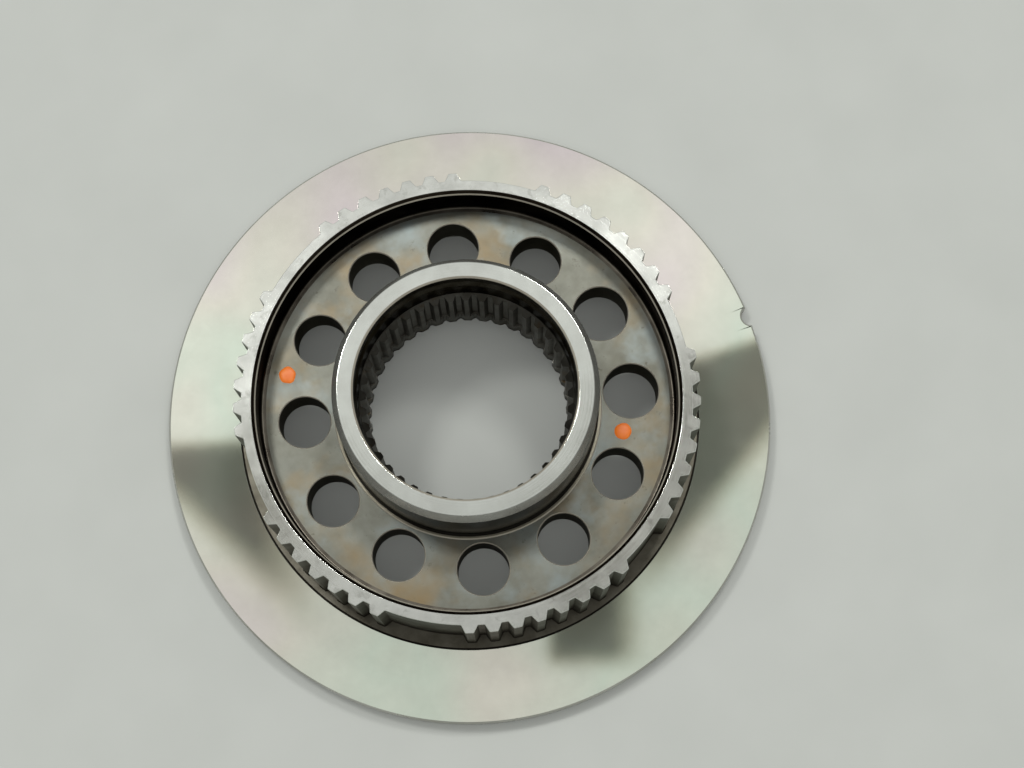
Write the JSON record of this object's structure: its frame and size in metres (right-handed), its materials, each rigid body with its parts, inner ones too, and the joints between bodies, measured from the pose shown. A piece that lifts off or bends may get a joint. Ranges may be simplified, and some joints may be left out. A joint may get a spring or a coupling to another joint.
{
  "type": "clutch hub",
  "caption": "Steel clutch hub: splined bore in a raised collar, drilled web, toothed ring that carries clutch plates and a wide flat pressure flange.",
  "frame": {"origin": "centre of the flange's lower face", "axes": "+Z along the hub's axis towards the collar, +X through the notch in the flange's rim"},
  "size_m": [0.169, 0.169, 0.054],
  "materials": {
    "machined_steel": "ground and lapped steel, browned by heat on the web",
    "marking_paint": "glossy orange marking paint in two small dabs"
  },
  "bodies": {
    "root": {"clutch_hub": "machined_steel"}
  },
  "joints": []
}
